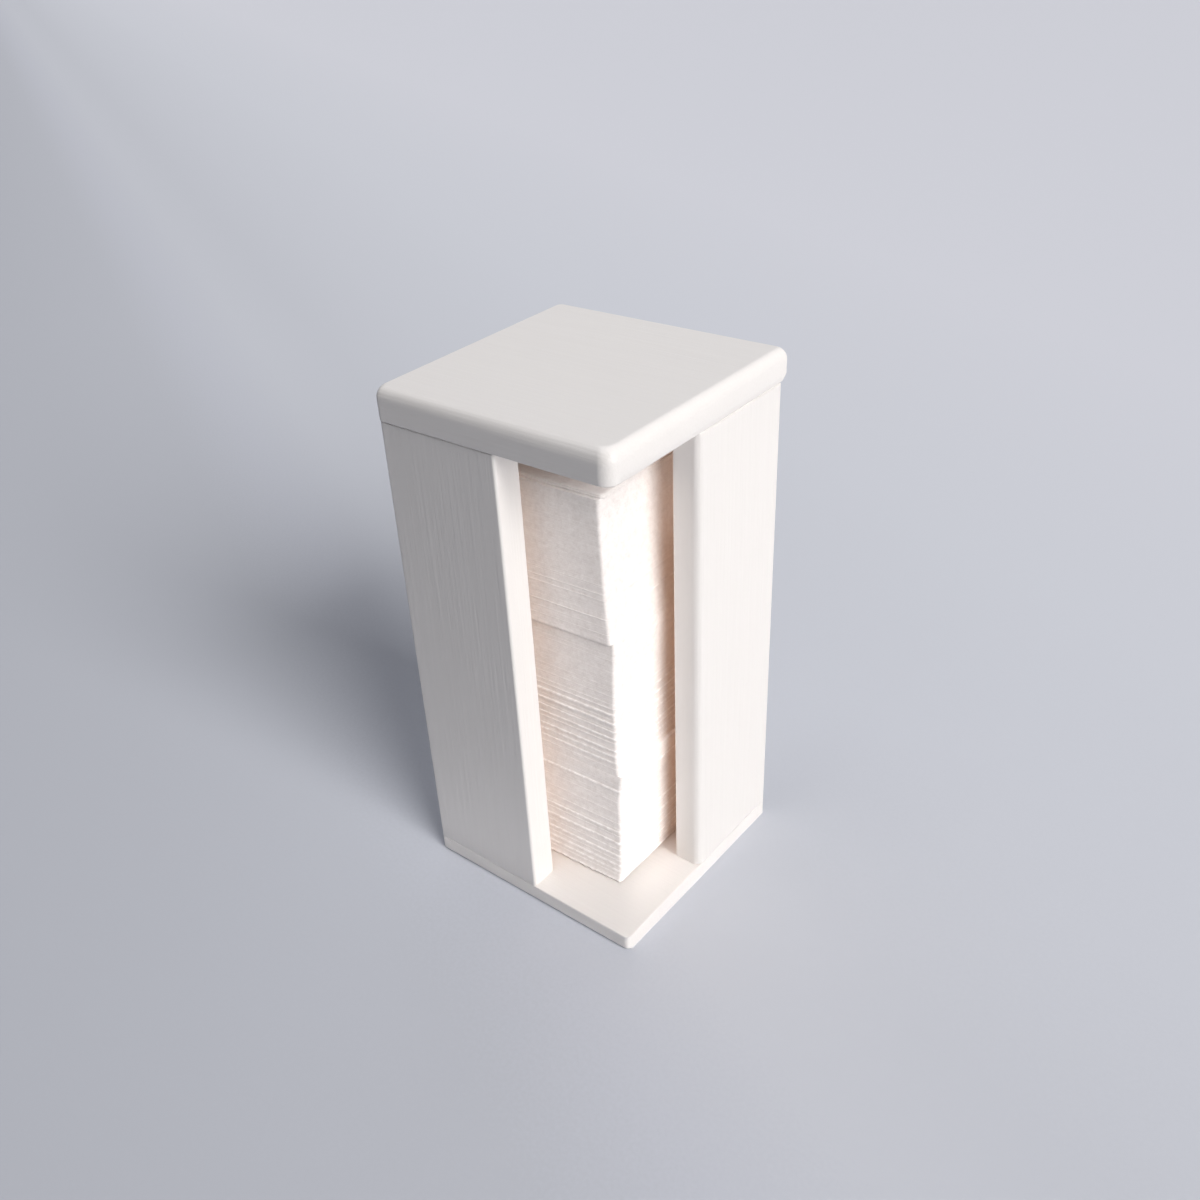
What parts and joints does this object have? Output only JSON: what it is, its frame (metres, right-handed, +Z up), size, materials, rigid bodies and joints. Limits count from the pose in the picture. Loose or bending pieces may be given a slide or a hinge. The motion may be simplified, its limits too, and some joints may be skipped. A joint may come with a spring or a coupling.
{
  "type": "wipe box",
  "caption": "Tall square box of white-painted wood with one upright corner left open for the fingers, a lift-off lid, and a stack of small square nonwoven wipes inside.",
  "frame": {"origin": "centre of the base board's underside, on the surface that the box stands on", "axes": "+Z up, the open corner faces +X and -Y"},
  "size_m": [0.0756, 0.0756, 0.16],
  "materials": {
    "painted_wood": "satin paint over fine-grained wood",
    "wipe": "matte nonwoven",
    "steel_pin": "bright drawn wire"
  },
  "bodies": {
    "box": {"base_board": "painted_wood", "left_front_panel": "painted_wood", "right_front_panel": "painted_wood", "left_back_panel": "painted_wood", "right_back_panel": "painted_wood", "base_pins": "steel_pin", "corner_pins": "steel_pin", "lower_wipes": "wipe", "middle_wipes": "wipe", "upper_wipes": "wipe"},
    "lid": {"lid_board": "painted_wood", "lid_plug": "painted_wood", "plug_pins": "steel_pin"}
  },
  "joints": [
    {"name": "lid_lift", "type": "slide", "parent": "box", "child": "lid", "axis": [0, 0, 1], "range_m": [0, 0.06]}
  ]
}
